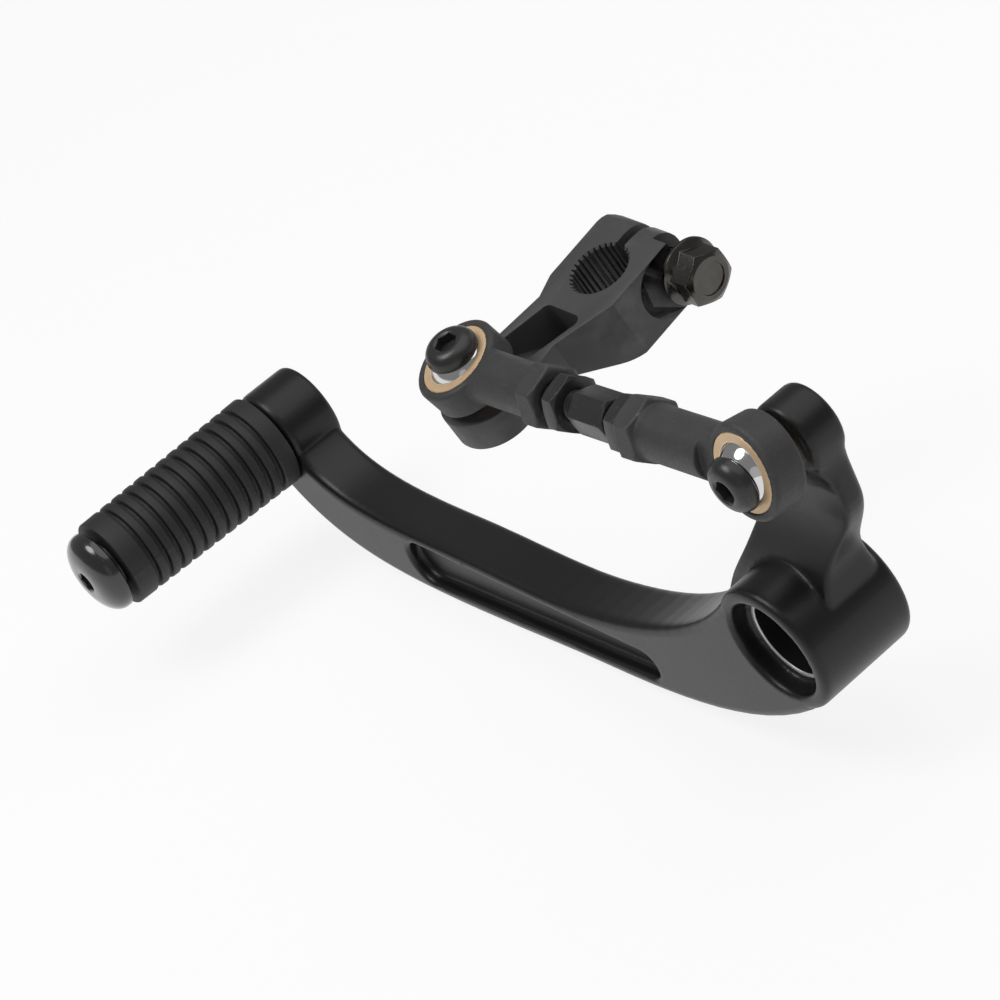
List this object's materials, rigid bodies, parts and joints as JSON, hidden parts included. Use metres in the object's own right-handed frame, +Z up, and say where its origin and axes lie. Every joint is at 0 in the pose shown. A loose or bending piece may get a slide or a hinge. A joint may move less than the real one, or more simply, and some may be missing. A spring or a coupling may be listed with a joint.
{
  "type": "motorcycle gear shift lever",
  "caption": "Bowed gear shift lever with a ribbed rubber peg, and an adjustable ball jointed tie rod to a slit, splined shift arm that clamps on the gearbox shaft.",
  "frame": {"origin": "middle of the pivot bush, on the pivot axis", "axes": "+Y along the pivot axis, inboard (the peg points to -Y); -X along the lever to the peg; +Z up the upright to the tie rod's ball joint"},
  "size_m": [0.197, 0.1066, 0.0791],
  "materials": {
    "black_cast": "black satin coat on cast aluminium",
    "black_forged": "black semi-matt coat on steel",
    "black_oxide": "black oxide, satin",
    "gloss_black": "gloss black",
    "dark_nickel": "dark nickel",
    "steel": "turned steel",
    "chrome": "polished",
    "bronze": "plain bronze",
    "rubber": "matt black"
  },
  "bodies": {
    "lever": {"lever": "black_cast", "pivot_bush": "steel", "peg_pin": "steel", "peg_rubber": "rubber", "peg_screw": "gloss_black", "lever_ball_screw": "black_oxide"},
    "lever_ball": {"lever_ball": "chrome"},
    "tie_rod": {"lever_race": "bronze", "lever_rod_end": "black_forged", "lever_lock_nut": "black_oxide", "adjuster": "black_oxide", "arm_lock_nut": "black_oxide", "arm_rod_end": "black_forged", "arm_race": "bronze"},
    "arm_ball": {"arm_ball": "chrome"},
    "arm": {"shift_arm": "black_cast", "pinch_bolt": "dark_nickel", "arm_ball_screw": "black_oxide"}
  },
  "joints": [
    {"name": "lever_ball_spin", "type": "hinge", "parent": "lever", "child": "lever_ball", "pos_m": [0.0127, -0.0057, 0.0415], "axis": [0, 1, 0], "range_deg": [-20, 60]},
    {"name": "lever_ball_tilt", "type": "hinge", "parent": "lever_ball", "child": "tie_rod", "pos_m": [0.0127, -0.0057, 0.0415], "axis": [0.9988, -0.0157, 0.0471], "range_deg": [-1.3, 24.3]},
    {"name": "arm_ball_tilt", "type": "hinge", "parent": "tie_rod", "child": "arm_ball", "pos_m": [-0.07539, -0.00432, 0.03735], "axis": [-0.7614, 0.6212, 0.1856], "range_deg": [-23.2, 2.3]},
    {"name": "arm_ball_spin", "type": "hinge", "parent": "arm_ball", "child": "arm", "pos_m": [-0.07539, -0.00432, 0.03735], "axis": [0.0682, -0.2079, 0.9758], "range_deg": [-24, 60]}
  ]
}
